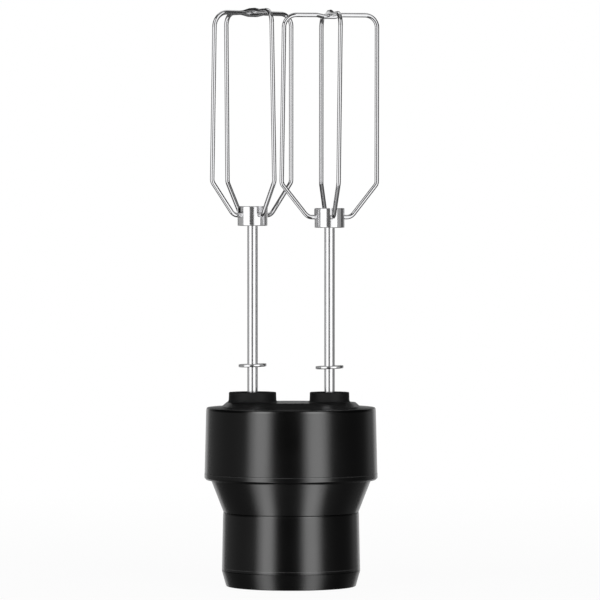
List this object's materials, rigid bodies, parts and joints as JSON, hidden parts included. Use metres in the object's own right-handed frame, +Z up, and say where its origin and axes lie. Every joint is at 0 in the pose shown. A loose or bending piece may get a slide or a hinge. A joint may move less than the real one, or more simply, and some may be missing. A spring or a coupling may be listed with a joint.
{
  "type": "twin beater gearbox head",
  "caption": "Gearbox head for a stick blender: black drum housing on a coupling sleeve, with plated wire beaters side by side in sockets, geared to turn in opposite directions.",
  "frame": {"origin": "centre of the open rim of the coupling sleeve, where the part stands", "axes": "+Z up along the sleeve towards the beaters, +X along the row of the beater axes towards the smaller socket"},
  "size_m": [0.0818, 0.081, 0.2702],
  "materials": {
    "housing_plastic": "satin black moulded",
    "ring_plastic": "satin black moulded",
    "socket_plastic": "matt black moulded",
    "seal_rubber": "soft matt",
    "inner_plastic": "matt black moulded",
    "bush_bronze": "sintered",
    "machined_steel": "turned",
    "screw_steel": "zinc plated",
    "gear_plastic": "natural moulded",
    "spindle_steel": "turned",
    "beater_chrome": "polished plated"
  },
  "bodies": {
    "housing": {"drum_shell": "housing_plastic", "left_socket_collar": "socket_plastic", "right_socket_collar": "socket_plastic", "left_lip_seal": "seal_rubber", "right_lip_seal": "seal_rubber", "lower_housing": "housing_plastic", "coupling_sleeve": "housing_plastic", "locking_ring": "ring_plastic", "gear_plate": "inner_plastic", "housing_gasket": "seal_rubber", "plate_screws": "screw_steel", "sleeve_screws": "screw_steel", "nose_seal": "seal_rubber", "left_upper_bush": "bush_bronze", "right_upper_bush": "bush_bronze", "left_lower_bush": "bush_bronze", "right_lower_bush": "bush_bronze", "input_lower_bush": "bush_bronze", "input_upper_bush": "bush_bronze", "compound_axle": "machined_steel", "compound_washers": "machined_steel"},
    "left_spindle_unit": {"left_spindle": "spindle_steel", "left_beater_gear": "gear_plastic", "left_retaining_clip": "machined_steel", "left_spindle_circlip": "machined_steel", "left_thrust_washer": "machined_steel"},
    "right_spindle_unit": {"right_spindle": "spindle_steel", "right_beater_gear": "gear_plastic", "right_retaining_clip": "machined_steel", "right_spindle_circlip": "machined_steel", "right_thrust_washer": "machined_steel"},
    "compound_unit": {"compound_wheel": "gear_plastic", "compound_pinion": "spindle_steel"},
    "input_unit": {"input_shaft": "machined_steel", "input_pinion": "machined_steel", "drive_coupling": "socket_plastic", "input_circlip": "machined_steel", "input_thrust_washer": "machined_steel"},
    "left_beater": {"left_beater_shaft": "beater_chrome", "left_splash_disc": "beater_chrome", "left_beater_hub": "beater_chrome", "left_beater_wire_lower": "beater_chrome", "left_beater_wire_upper": "beater_chrome"},
    "right_beater": {"right_beater_shaft": "beater_chrome", "right_splash_disc": "beater_chrome", "right_beater_hub": "beater_chrome", "right_beater_wire_lower": "beater_chrome", "right_beater_wire_upper": "beater_chrome"}
  },
  "joints": [
    {"name": "left_spin", "type": "hinge", "parent": "housing", "child": "left_spindle_unit", "pos_m": [-0.018, 0, 0.06], "axis": [0, 0, 1], "continuous": true},
    {"name": "right_spin", "type": "hinge", "parent": "housing", "child": "right_spindle_unit", "pos_m": [0.018, 0, 0.06], "axis": [0, 0, 1], "continuous": true},
    {"name": "compound_spin", "type": "hinge", "parent": "housing", "child": "compound_unit", "pos_m": [-0.00411, 0.01957, 0.06], "axis": [0, 0, 1], "continuous": true},
    {"name": "input_spin", "type": "hinge", "parent": "housing", "child": "input_unit", "pos_m": [0, 0, 0.03], "axis": [0, 0, 1], "continuous": true},
    {"name": "left_beater_pull", "type": "slide", "parent": "left_spindle_unit", "child": "left_beater", "axis": [0, 0, 1], "range_m": [0, 0.035], "deforming": ["left_retaining_clip"]},
    {"name": "right_beater_pull", "type": "slide", "parent": "right_spindle_unit", "child": "right_beater", "axis": [0, 0, 1], "range_m": [0, 0.035], "deforming": ["right_retaining_clip"]}
  ],
  "couplings": [
    {"joint": "right_spin", "follows": "left_spin", "ratio": -1},
    {"joint": "compound_spin", "follows": "left_spin", "ratio": -3},
    {"joint": "input_spin", "follows": "left_spin", "ratio": 12}
  ]
}
